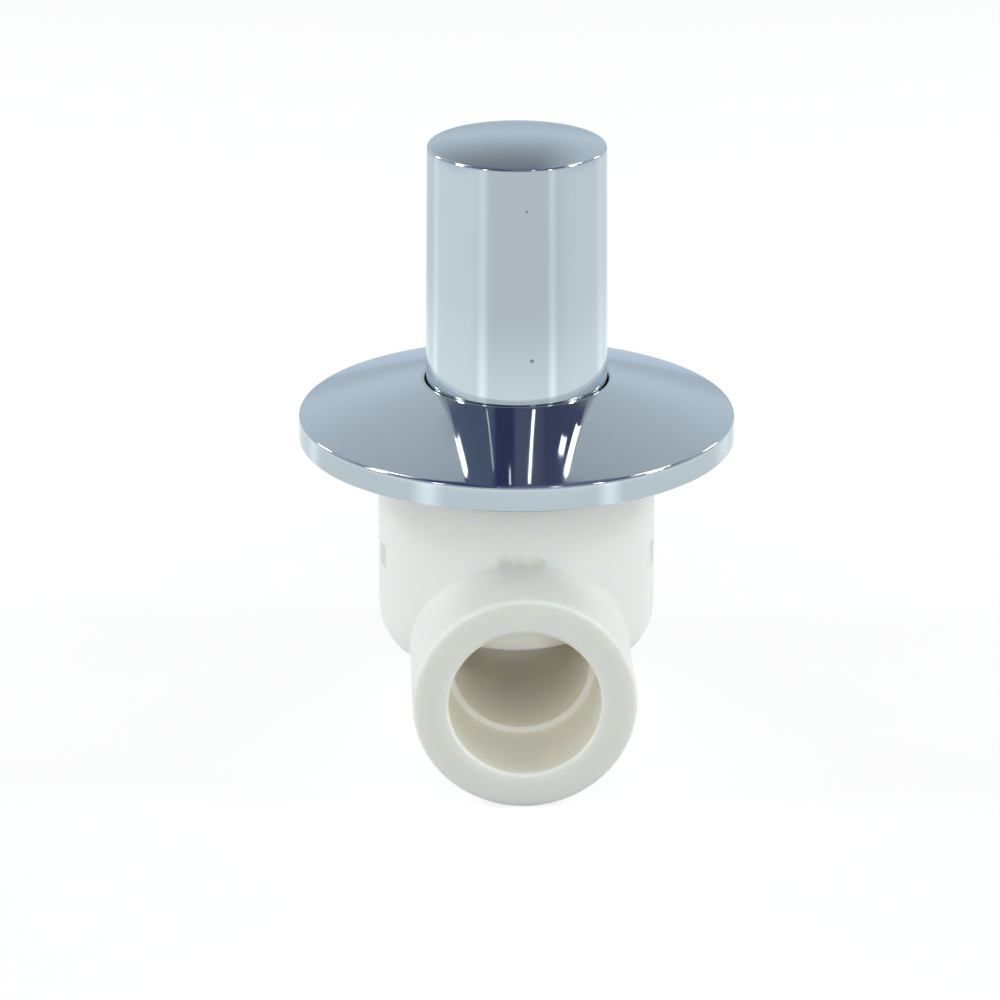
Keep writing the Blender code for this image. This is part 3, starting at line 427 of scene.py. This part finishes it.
chamber_radius, passage_radius, pocket_spare = 0.0111, 0.0110, 0.0021
partition_foot, partition_top, partition_reach = -0.0006, 0.0018, 0.0030
mouth_radius, mouth_chamfer, socket_radius, socket_depth = 0.01215, 0.0005, 0.0120, 0.0160
insert_top, insert_foot, insert_radius, insert_groove = 0.0296, 0.0130, 0.0176, 0.0015
seat_hole_radius = 0.00779
mark_depth, mark_half_width, mark_foot, mark_top = 0.0002, 0.0017, 0.0115, 0.0153
reach, gap, pocket_top, block_reach = 0.0010, 0.0003, 0.04, 0.03

socket = [
    (0.0, run_half + reach), (mouth_radius + mouth_chamfer + reach, run_half + reach),
    (mouth_radius, run_half - mouth_chamfer), (socket_radius, run_half - socket_depth),
    (passage_radius, run_half - socket_depth)]
inlet_way = lathe(
    "inlet_tool", socket + [(passage_radius, -chamber_radius), (0.0, -chamber_radius)], way_facets,
    on_pipe=True)
inlet_way.data.transform(Matrix.Rotation(math.pi, 4, "Z"))
outlet_way = lathe(
    "outlet_tool", socket + [(passage_radius, 0.0), (0.0, 0.0)], way_facets, on_pipe=True)


def plug(name, radius, top, foot):
    return lathe(name, [(0.0, top), (radius, top), (radius, foot), (0.0, foot)], way_facets)


inlet_way = worked(inlet_way, (
    "DIFFERENCE", plug("pocket_tool", chamber_radius + pocket_spare, pocket_top, partition_foot)))
partition = block("partition_tool", (-block_reach, -block_reach, -block_reach),
                  (block_reach, chamber_radius + partition_reach, partition_top))
outlet_way = worked(
    outlet_way, ("UNION", plug("chamber_tool", chamber_radius, insert_foot, partition_foot)),
    ("DIFFERENCE", partition))

bed_outer, bed_inner = insert_radius + gap, insert_radius + gap - insert_groove
insert_band = (insert_top - insert_foot) / 5
insert_bed = [(0.0, insert_top + gap), (bed_outer, insert_top + gap)]
for bands in (1, 3):
    upper, lower = insert_top - insert_band * bands, insert_top - insert_band * (bands + 1)
    insert_bed += [(bed_outer, upper - gap), (bed_inner, upper - gap),
                   (bed_inner, lower + gap), (bed_outer, lower + gap)]
insert_bed += [(bed_outer, insert_foot - gap), (0.0, insert_foot - gap)]
marks = [
    block("mark_tool_%d" % (turn + 180), (barrel_radius - mark_depth, -mark_half_width, mark_foot),
          (barrel_radius + reach, mark_half_width, mark_top), turn) for turn in (-13.5, -166.5)]
moulded_body = worked(
    barrel, ("UNION", run), ("UNION", fillet_bead("fillet_tool", blend_radius, 40)),
    ("DIFFERENCE", inlet_way), ("DIFFERENCE", outlet_way),
    ("DIFFERENCE", lathe("insert_tool", insert_bed, insert_facets)),
    ("DIFFERENCE", plug("seat_tool", seat_hole_radius, partition_top + reach, partition_foot - reach)),
    *[("DIFFERENCE", mark) for mark in marks])


def finish(name, colour, roughness, metallic=0.0):
    """Starts a material; its tree gets a Principled shader and the piece's own coordinates."""
    made = bpy.data.materials.new(name)
    made.diffuse_color = (*colour, 1.0)
    tree = shader_tree(made)
    shader = node(tree, "ShaderNodeBsdfPrincipled",
                  Base_Color=(*colour, 1.0), Roughness=roughness, Metallic=metallic)
    node(tree, "ShaderNodeOutputMaterial", Surface=shader.outputs[0])
    return made, tree, shader, node(tree, "ShaderNodeTexCoord").outputs["Object"]


def noise(tree, here, scale, detail):
    return node(tree, "ShaderNodeTexNoise", Vector=here, Scale=scale, Detail=detail).outputs[0]


def bumped(tree, shader, height, strength, distance):
    bump = node(tree, "ShaderNodeBump", Strength=strength, Distance=distance, Height=height)
    tree.links.new(bump.outputs[0], shader.inputs["Normal"])


def off_axis(tree, **sides):
    """Distance from an axis, given the two coordinates across it."""
    flat = node(tree, "ShaderNodeCombineXYZ", **sides).outputs[0]
    return node(tree, "ShaderNodeVectorMath", {"operation": "LENGTH"}, _0=flat).outputs["Value"]


def spots(tree, here, places, ragged):
    """A mask that is 1 in small spots, given as (x, y, z, radius) in millimetres, with ragged edges."""
    rough = noise(tree, here, 2500.0, 3.0)
    mask = 0.0
    for x, y, z, radius in places:
        away = node(tree, "ShaderNodeVectorMath", {"operation": "DISTANCE"},
                    _0=here, _1=(x / 1000, y / 1000, z / 1000))
        reach = maths(tree, "MULTIPLY_ADD", rough, ragged * radius / 1000, away.outputs["Value"])
        spot = spread(tree, reach, radius / 1000 * (1 + ragged / 2), radius / 2000)
        mask = maths(tree, "MAXIMUM", spot, mask)
    return mask


def spotted(tree, here, colour, places, ragged, strength, spot_colour):
    """Tints a colour in small spots."""
    mask = spots(tree, here, places, ragged)
    return mixed(tree, product(tree, mask, strength), colour, spot_colour)


ppr, tree, shader, here = finish("white_ppr", (0.87, 0.88, 0.86), 0.42)
shader.inputs["Subsurface Weight"].default_value = 1.0
shader.inputs["Subsurface Scale"].default_value = 0.004
shader.inputs["Subsurface Radius"].default_value = (1.0, 0.85, 0.62)
colour = mixed(tree, noise(tree, here, 60.0, 3.0), (0.86, 0.872, 0.85), (0.88, 0.89, 0.87))
x, y, z = node(tree, "ShaderNodeSeparateXYZ", Vector=here).outputs
# Painted shade: the pipe run's end faces are coloured darker than the rest of the body, standing in for less
# light falling on them.
shaded_face = spread(tree, maths(tree, "ABSOLUTE", y), run_half - 0.0002, run_half - 0.00005)
colour = mixed(tree, shaded_face, colour, (0.775, 0.785, 0.765))
# Painted light: the inside of the bore along the pipe is coloured lighter and warmer, standing in for light
# that comes through the translucent wall.
bore_glow = spread(tree, off_axis(tree, X=x, Z=z), socket_radius + 0.0006, socket_radius)
colour = mixed(tree, bore_glow, colour, (0.98, 0.94, 0.85))
from_axis = off_axis(tree, X=x, Y=y)
# Painted shade: the floors of the two shallow marks on the barrel are coloured darker, as shade inside the
# recesses.
mark_shade = product(
    tree, spread(tree, from_axis, barrel_radius - 0.00006, barrel_radius - 0.00010),
    spread(tree, from_axis, barrel_radius - 0.0006, barrel_radius - 0.0005),
    spread(tree, z, mark_foot - 0.0003, mark_foot - 0.0002),
    spread(tree, maths(tree, "ABSOLUTE", x), 0.0200, 0.0202))
colour = mixed(tree, mark_shade, colour, (0.70, 0.725, 0.69))
stain = [(-2.6, -22.6, 18.5, 1.8), (-0.4, -22.7, 18.5, 2.0), (2.2, -22.6, 18.4, 1.8)]
dirt = [(-3.2, -22.4, 18.45, 1.1), (-2.0, -22.6, 18.5, 0.7), (3.3, -22.4, 18.4, 1.1)]
specks = [
    (-5.4, -32.8, 17.0, 0.16), (-9.9, -36.8, 13.2, 0.19), (-6.0, -36.8, 15.6, 0.14),
    (-3.5, -36.8, 16.3, 0.15), (-2.1, -36.8, 16.5, 0.10), (-0.2, -36.8, 17.0, 0.10),
    (4.5, -36.8, 16.1, 0.15)]
colour = spotted(tree, here, colour, stain, 0.6, 0.20, (0.50, 0.48, 0.40))
colour = spotted(tree, here, colour, dirt, 0.8, 0.22, (0.46, 0.40, 0.20))
colour = spotted(tree, here, colour, specks, 0.6, 0.55, (0.20, 0.17, 0.13))
tree.links.new(colour, shader.inputs["Base Color"])
grain = noise(tree, here, 900.0, 2.0)
tree.links.new(spread(tree, grain, 0.3, 0.7, 0.38, 0.47), shader.inputs["Roughness"])
bumped(tree, shader, grain, 0.12, 0.00004)
moulded_body.data.materials.clear()
moulded_body.data.materials.append(ppr)
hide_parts("ppr_body")
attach(moulded_body, "valve_body")


# Headwork, seat, spindle and plate: turned from brass bar, which leaves fine rings round them. Screwed
# pieces get their real threads, cut into the metal by a V-shaped bar on a helix, which Geometry Nodes
# grow, and the hexagons get their corners chamfered.
def dress(material, *names):
    """Gives a finish to CAD solids that keep their shape."""
    for name in names:
        for slot in nodes[name].material_slots:
            slot.material = material


brass, tree, shader, here = finish("turned_brass", (0.72, 0.52, 0.22), 0.24, 1.0)
z = node(tree, "ShaderNodeSeparateXYZ", Vector=here).outputs["Z"]
lines = node(tree, "ShaderNodeTexNoise", {"noise_dimensions": "1D"}, W=z, Scale=9000.0, Detail=2.0)
blotch = noise(tree, here, 120.0, 4.0)
colour = mixed(tree, spread(tree, blotch, 0.35, 0.65), (0.74, 0.55, 0.24), (0.63, 0.44, 0.18))
tree.links.new(colour, shader.inputs["Base Color"])
tree.links.new(spread(tree, blotch, 0.3, 0.7, 0.20, 0.34), shader.inputs["Roughness"])
bumped(tree, shader, lines.outputs[0], 0.25, 0.00002)
dress(brass, "seat_ring", "gland_ring", "spindle_extension")

crest_spare, helix_steps, chamfer_facets = 0.0001, 48, 96
thread_tool = bpy.data.node_groups.new("thread_tool", "GeometryNodeTree")
for name, kind in (("Radius", "Float"), ("Foot", "Float"), ("Pitch", "Float"), ("Turns", "Float"),
                   ("Depth", "Float"), ("Side", "Float"), ("Finish", "Material")):
    thread_tool.interface.new_socket(name, in_out="INPUT", socket_type="NodeSocket" + kind)
thread_tool.interface.new_socket("Geometry", in_out="OUTPUT", socket_type="NodeSocketGeometry")
sizes = thread_tool.nodes.new("NodeGroupInput").outputs
v_size = maths(thread_tool, "MULTIPLY_ADD", sizes["Depth"], 1 / 1.5, crest_spare / 1.5)
helix_radius = maths(thread_tool, "MULTIPLY_ADD", v_size, -0.5, crest_spare)
helix_radius = maths(thread_tool, "MULTIPLY_ADD", helix_radius, sizes["Side"], sizes["Radius"])
helix = node(thread_tool, "GeometryNodeCurveSpiral", Resolution=helix_steps, Rotations=sizes["Turns"],
             Start_Radius=helix_radius, End_Radius=helix_radius,
             Height=product(thread_tool, sizes["Turns"], sizes["Pitch"]))
helix = node(thread_tool, "GeometryNodeSetCurveNormal", {"mode": "Z_UP"}, Curve=helix.outputs[0])
v_shape = node(thread_tool, "GeometryNodeCurvePrimitiveCircle", {"mode": "RADIUS"},
               Resolution=3, Radius=v_size)
v_turn = node(thread_tool, "ShaderNodeCombineXYZ",
              Z=maths(thread_tool, "MULTIPLY_ADD", sizes["Side"], -math.pi / 2, math.pi / 2))
v_shape = node(thread_tool, "GeometryNodeTransform",
               Geometry=v_shape.outputs[0], Rotation=v_turn.outputs[0])
bar = node(thread_tool, "GeometryNodeCurveToMesh",
           Curve=helix.outputs[0], Profile_Curve=v_shape.outputs[0], Fill_Caps=True)
lift = node(thread_tool, "ShaderNodeCombineXYZ", Z=sizes["Foot"])
bar = node(thread_tool, "GeometryNodeTransform", Geometry=bar.outputs[0], Translation=lift.outputs[0])
bar = node(thread_tool, "GeometryNodeRealizeInstances", Geometry=bar.outputs[0])
bar = node(thread_tool, "GeometryNodeSetMaterial", Geometry=bar.outputs[0], Material=sizes["Finish"])
node(thread_tool, "NodeGroupOutput", Geometry=bar.outputs[0])


def grown(name, tree, **sizes):
    """Grows a mesh with a Geometry Nodes tree and leaves it plain."""
    made = bpy.data.objects.new(name, bpy.data.meshes.new(name))
    bpy.context.collection.objects.link(made)
    grower = made.modifiers.new(tree.name, "NODES")
    grower.node_group = tree
    for socket in tree.interface.items_tree:
        if socket.in_out == "INPUT":
            grower[socket.identifier] = sizes[socket.name]
    result = bpy.data.meshes.new_from_object(made.evaluated_get(bpy.context.evaluated_depsgraph_get()))
    made.modifiers.clear()
    made.data = result
    return made


def thread_cut(radius, foot, top, pitch, depth, side=1.0):
    """A cutting step for a thread; lengths in millimetres, side is 1 outside and -1 inside."""
    return "DIFFERENCE", grown(
        "thread_cut", thread_tool, Radius=radius / 1000, Foot=foot / 1000, Pitch=pitch / 1000,
        Turns=(top - foot) / pitch, Depth=depth / 1000, Side=side, Finish=brass)


def hexagon_cut(across, foot, top, low, high, foot_too=False):
    """A trimming step that chamfers a hexagon's corners; lengths in millimetres."""
    inside, outside = 0.48 * across, 0.62 * across
    drop = (outside - inside) * math.tan(math.radians(30))
    outline = [(0.0, low), (outside, low)]
    if foot_too:
        outline = [(0.0, low), (inside, low), (inside, foot), (outside, foot + drop)]
    outline += [(outside, top - drop), (inside, top), (inside, high), (0.0, high)]
    outline = [(radius / 1000, height / 1000) for radius, height in outline]
    return "INTERSECT", lathe("hexagon_cut", outline, chamfer_facets)


def machined(name, body, material, slot, *steps):
    """Copies a CAD solid, merges its triangles, works it further and lets it stand for the solid."""
    bm = bmesh.new()
    bm.from_mesh(nodes[name].data)
    piece = worked(closed(name + "_machined", bm), *steps)
    piece.data.materials.clear()
    piece.data.materials.append(material)
    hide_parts(name)
    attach(piece, body)


machined("brass_insert", "valve_body", brass, "brass", thread_cut(13.2, 13.3, 29.4, 1.5, 0.85, -1.0))
machined("bonnet", "valve_body", brass, "brass", thread_cut(12.9, 15.9, 29.3, 1.5, 0.85),
         thread_cut(11.0, 39.0, 45.7, 1.25, 0.7), thread_cut(6.3, 22.6, 36.2, 2.0, 0.9, -1.0),
         thread_cut(8.0, 42.4, 45.8, 1.0, 0.55, -1.0), hexagon_cut(30.0, 29.9, 33.9, 10.0, 50.0))
machined("gland_nut", "valve_body", brass, "brass", thread_cut(7.7, 42.4, 45.9, 1.0, 0.55),
         hexagon_cut(17.0, 46.3, 50.3, 40.0, 55.0))
machined("cover_sleeve", "valve_body", brass, "brass", thread_cut(11.3, 38.6, 46.1, 1.25, 0.7, -1.0))
machined("spindle", "handle", brass, "brass", thread_cut(6.0, 17.0, 30.8, 2.0, 1.0))
machined("valve_plate", "plate", brass, "brass", thread_cut(2.0, 1.4, 3.9, 0.7, 0.4))
machined("washer_nut", "plate", brass, "brass", hexagon_cut(8.0, 1.6, 3.9, -2.0, 6.0, True))

# Seals: the headwork's ring and the washer under the plate are moulded in black rubber, with a little
# pale dust on them.
rubber, tree, shader, here = finish("black_rubber", (0.02, 0.02, 0.021), 0.6)
dust = noise(tree, here, 700.0, 4.0)
colour = mixed(tree, spread(tree, dust, 0.5, 0.8), (0.018, 0.018, 0.019), (0.06, 0.058, 0.055))
tree.links.new(colour, shader.inputs["Base Color"])
bumped(tree, shader, dust, 0.2, 0.00003)
dress(rubber, "bonnet_seal", "seat_washer")

# Gland packing: a ring of PTFE, which the gland nut presses round the spindle. It is off-white and
# faintly clouded.
packing, tree, shader, here = finish("white_ptfe", (0.82, 0.82, 0.80), 0.5)
colour = mixed(tree, noise(tree, here, 500.0, 3.0), (0.78, 0.78, 0.75), (0.86, 0.86, 0.84))
tree.links.new(colour, shader.inputs["Base Color"])
dress(packing, "gland_packing")

# Rosette holder and handle hub: moulded in grey plastic with a fine grain. The sleeve clamps the holder,
# and the hub is pressed into the handle.
grey, tree, shader, here = finish("grey_plastic", (0.35, 0.36, 0.37), 0.5)
grain = noise(tree, here, 1200.0, 2.0)
colour = mixed(tree, grain, (0.335, 0.345, 0.355), (0.37, 0.38, 0.39))
tree.links.new(colour, shader.inputs["Base Color"])
bumped(tree, shader, grain, 0.3, 0.00003)
dress(grey, "rosette_holder", "handle_hub")

# Clip and screws: zinc plated steel. The clip is stamped and hangs the plate in the spindle's head, one
# screw holds the extension on the spindle, and the grub screw lies across the handle.
grub_height = 0.0674
steel, tree, shader, here = finish("zinc_plated_steel", (0.56, 0.58, 0.60), 0.32, 1.0)
haze = noise(tree, here, 400.0, 4.0)
colour = mixed(tree, haze, (0.50, 0.53, 0.56), (0.62, 0.63, 0.62))
tree.links.new(colour, shader.inputs["Base Color"])
tree.links.new(spread(tree, haze, 0.3, 0.7, 0.26, 0.42), shader.inputs["Roughness"])
dress(steel, "plate_clip")
machined("extension_screw", "handle", steel, "zinc_plated_steel", thread_cut(1.7, 49.5, 58.0, 0.7, 0.42))
operation, grub_thread = thread_cut(2.0, 3.6, 13.1, 0.7, 0.42)
grub_thread.data.transform(
    Matrix.Translation((0, 0, grub_height)) @ Matrix.Rotation(-math.pi / 2, 4, "X"))
machined("grub_screw", "handle", steel, "zinc_plated_steel", (operation, grub_thread))

# Rosette: one sheet of brass pressed to a shallow crowned cone with a short rim and a rolled lip at
# the hole, polished and chromium plated, with a few pits and hair scratches. It snaps over the
# holder's rim.
chrome, tree, shader, here = finish("chrome_plate", (0.53, 0.565, 0.585), 0.045, 1.0)
haze = noise(tree, here, 90.0, 5.0)
colour = mixed(tree, haze, (0.515, 0.55, 0.57), (0.545, 0.58, 0.60))
pits = spots(tree, here, [
    (1.0, -14.46, 74.5, 0.34), (1.87, -14.6, 49.8, 0.46), (-2.6, -14.7, 44.9, 0.15),
    (9.6, -11.0, 46.6, 0.15), (28.0, 6.0, 39.6, 0.22), (-24.0, -23.5, 34.2, 0.25)], 0.8)
colour = mixed(tree, product(tree, pits, 0.8), colour, (0.13, 0.11, 0.13))
tree.links.new(colour, shader.inputs["Base Color"])
stretched = node(tree, "ShaderNodeMapping",
                 Vector=here, Scale=(1.0, 0.35, 1.6), Rotation=(0.5, 0.3, 0.8)).outputs[0]
off_level = maths(tree, "ABSOLUTE", maths(tree, "SUBTRACT", noise(tree, stretched, 330.0, 1.0), 0.5))
worn = spread(tree, noise(tree, here, 70.0, 2.0), 0.56, 0.66)
hairline = product(tree, spread(tree, off_level, 0.006, 0.0), worn)
roughness = maths(tree, "MULTIPLY_ADD", hairline, 0.10, spread(tree, haze, 0.3, 0.7, 0.035, 0.06))
tree.links.new(maths(tree, "MULTIPLY_ADD", pits, 0.4, roughness), shader.inputs["Roughness"])

chrome_facets = 256
wall_plane, rosette_radius, rosette_sheet, rosette_edge = 0.03217, 0.0355, 0.0009, 0.0002
rosette_shoulder = wall_plane + 0.00423
hole_radius, lip_height = 0.01493, 0.04187
lip_round, rim_round, crown = 0.0004, 0.00052, 0.00022


def crowned(start, end, bulge, count):
    """Inner points of a line from start to end that bulges upwards in the middle."""
    points = []
    for step in range(1, count):
        share = step / count
        radius = start[0] + (end[0] - start[0]) * share
        height = start[1] + (end[1] - start[1]) * share + bulge * 4 * share * (1 - share)
        points.append((radius, height))
    return points


lip_centre = (hole_radius + lip_round, lip_height)
rim_centre = (rosette_radius - rim_round, rosette_shoulder - rim_round)
cone_width = rim_centre[0] - lip_centre[0]
fall = (lip_height + lip_round - rosette_shoulder) / cone_width
bend = 4 * crown / cone_width
lip_end, rim_start = [90 - math.degrees(math.atan(slope)) for slope in (fall - bend, fall + bend)]
shoulder_arc = arc(rim_centre, rim_round, rim_start, 0, 8)
outline = arc(lip_centre, lip_round, 180, lip_end, 8)
outline += crowned(outline[-1], shoulder_arc[0], crown, 40) + shoulder_arc
outline += steps_between(outline[-1], (rosette_radius, wall_plane + rosette_edge), 16)
outline += [(rosette_radius - rosette_edge, wall_plane), (rosette_radius - rosette_sheet, wall_plane)]
inner_corner = (rim_centre[0], rosette_shoulder - rosette_sheet)
inner_end = (hole_radius, lip_height + lip_round - rosette_sheet)
outline += [(rosette_radius - rosette_sheet, inner_corner[1] - rim_round)]
outline += crowned(inner_corner, inner_end, crown, 20) + [inner_end]
rosette = worked(lathe("chrome_rosette", outline, chrome_facets))
rosette.data.materials.append(chrome)
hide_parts("rosette")
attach(rosette, "valve_body")

# Handle: a chromium plated brass shell, turned and polished, nearly straight, with a flat top that
# rises a little in the middle. A hole at the back lets a key reach the grub screw.
foot_radius, top_radius, inner_radius = 0.01476, 0.01436, 0.0134
handle_foot, foot_edge, shoulder, ceiling = 0.0361, 0.0002, 0.08135, 0.07955
edge_round, dome, dome_rings = 0.00045, 0.0012, 24
grub_hole_radius, grub_hole_reach = 0.0023, 0.02
edge_centre = (top_radius - edge_round, shoulder - edge_round)
outline = [(edge_centre[0] * step / dome_rings, shoulder + dome * (1 - (step / dome_rings) ** 2))
           for step in range(dome_rings)]
edge_start = 90 - math.degrees(math.atan(2 * dome / edge_centre[0]))
outline += arc(edge_centre, edge_round, edge_start, 0, 8)
outline += steps_between(outline[-1], (foot_radius, lip_height), 20)
outline += [(foot_radius, handle_foot + foot_edge), (foot_radius - foot_edge, handle_foot),
            (inner_radius + foot_edge, handle_foot), (inner_radius, handle_foot + foot_edge),
            (inner_radius, ceiling), (0.0, ceiling)]
grub_hole = lathe("grub_hole_tool", [
    (0.0, 0.0), (grub_hole_radius, 0.0), (grub_hole_radius, grub_hole_reach), (0.0, grub_hole_reach)],
    40, on_pipe=True)
grub_hole.data.transform(Matrix.Translation((0, 0, grub_height)))
handle = worked(lathe("chrome_handle", outline, chrome_facets), ("DIFFERENCE", grub_hole))
handle.data.materials.clear()
handle.data.materials.append(chrome)
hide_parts("handle")
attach(handle, "handle")
